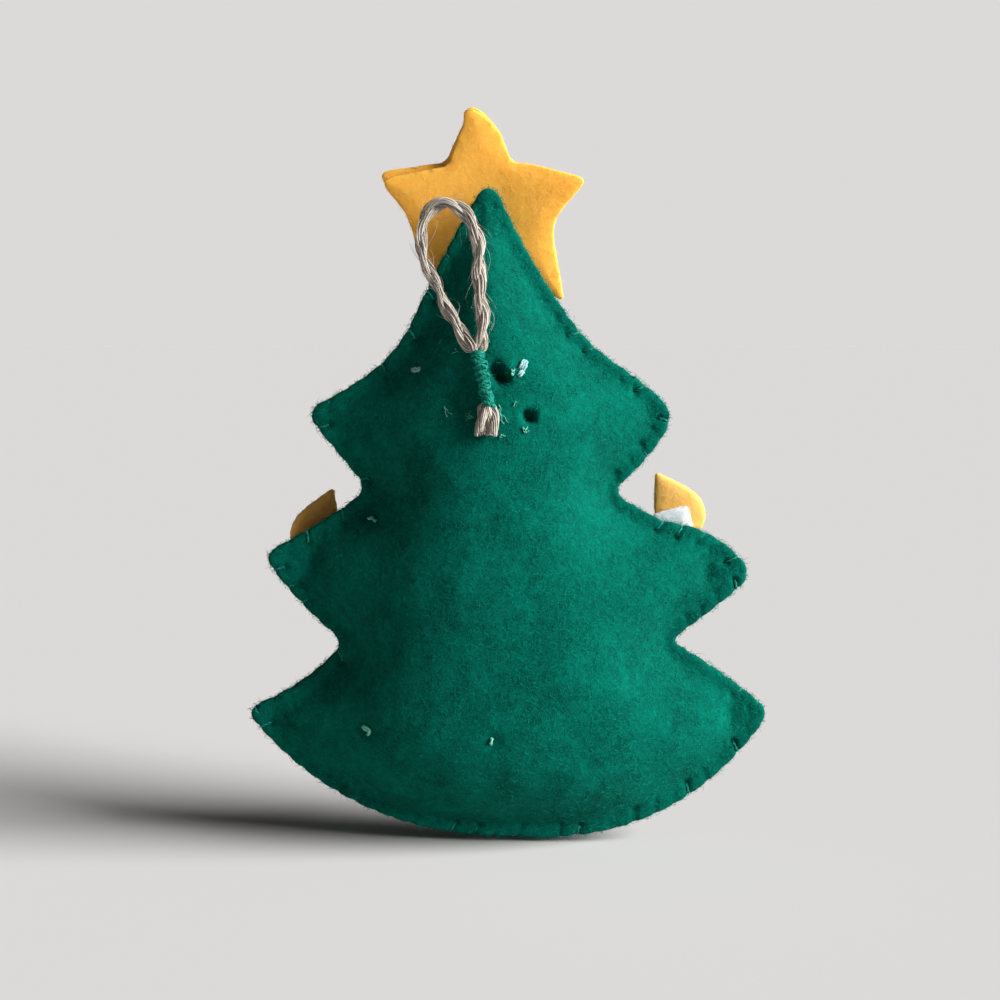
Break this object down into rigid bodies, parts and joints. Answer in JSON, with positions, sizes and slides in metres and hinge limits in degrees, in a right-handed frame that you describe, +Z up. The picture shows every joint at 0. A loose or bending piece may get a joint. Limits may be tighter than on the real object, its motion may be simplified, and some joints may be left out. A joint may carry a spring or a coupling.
{
  "type": "felt tree ornament",
  "caption": "Stuffed felt tree ornament with a whip-stitched edge, felt star and candles on its front, and a twine loop lashed to its back for hanging.",
  "frame": {"origin": "hanging point: underside of the twine at the top of the loop, on its centre line", "axes": "+X right as seen from the back, +Y from the back to the front, +Z up along the tree"},
  "size_m": [0.0815, 0.0308, 0.1148],
  "materials": {
    "green_felt": "woolly felt, faintly mottled",
    "yellow_felt": "woolly felt",
    "white_felt": "woolly felt",
    "fibre_fill": "loose fibre",
    "green_thread": "twisted thread, soft sheen",
    "white_thread": "twisted thread",
    "pale_thread": "twisted thread",
    "jute": "hairy twisted twine"
  },
  "bodies": {
    "ornament": {"back_panel": "green_felt", "front_panel": "green_felt", "stuffing": "fibre_fill", "edge_stitching": "green_thread", "twine_end_left": "jute", "twine_end_right": "jute", "loop_lashing": "green_thread", "star_back_layer": "yellow_felt", "star_front_layer": "yellow_felt", "candle_left_branch": "white_felt", "flame_left_branch": "yellow_felt", "candle_right_branch": "white_felt", "flame_right_branch": "yellow_felt", "candle_top_left": "white_felt", "flame_top_left": "yellow_felt", "candle_top_right": "white_felt", "flame_top_right": "yellow_felt", "candle_bottom_left": "white_felt", "flame_bottom_left": "yellow_felt", "candle_bottom_middle": "white_felt", "flame_bottom_middle": "yellow_felt", "tack_top_left": "white_thread", "tack_top_right": "white_thread", "tack_middle": "pale_thread", "tack_bottom_left": "pale_thread", "tack_bottom_middle": "pale_thread"},
    "loop": {"hanging_loop": "jute"}
  },
  "joints": [
    {"name": "loop_bend", "type": "hinge", "parent": "ornament", "child": "loop", "pos_m": [0.0049, -0.00283, -0.0193], "axis": [1, 0, 0], "range_deg": [-6, 140], "stiffness_Nm_per_rad": 0.0001}
  ]
}
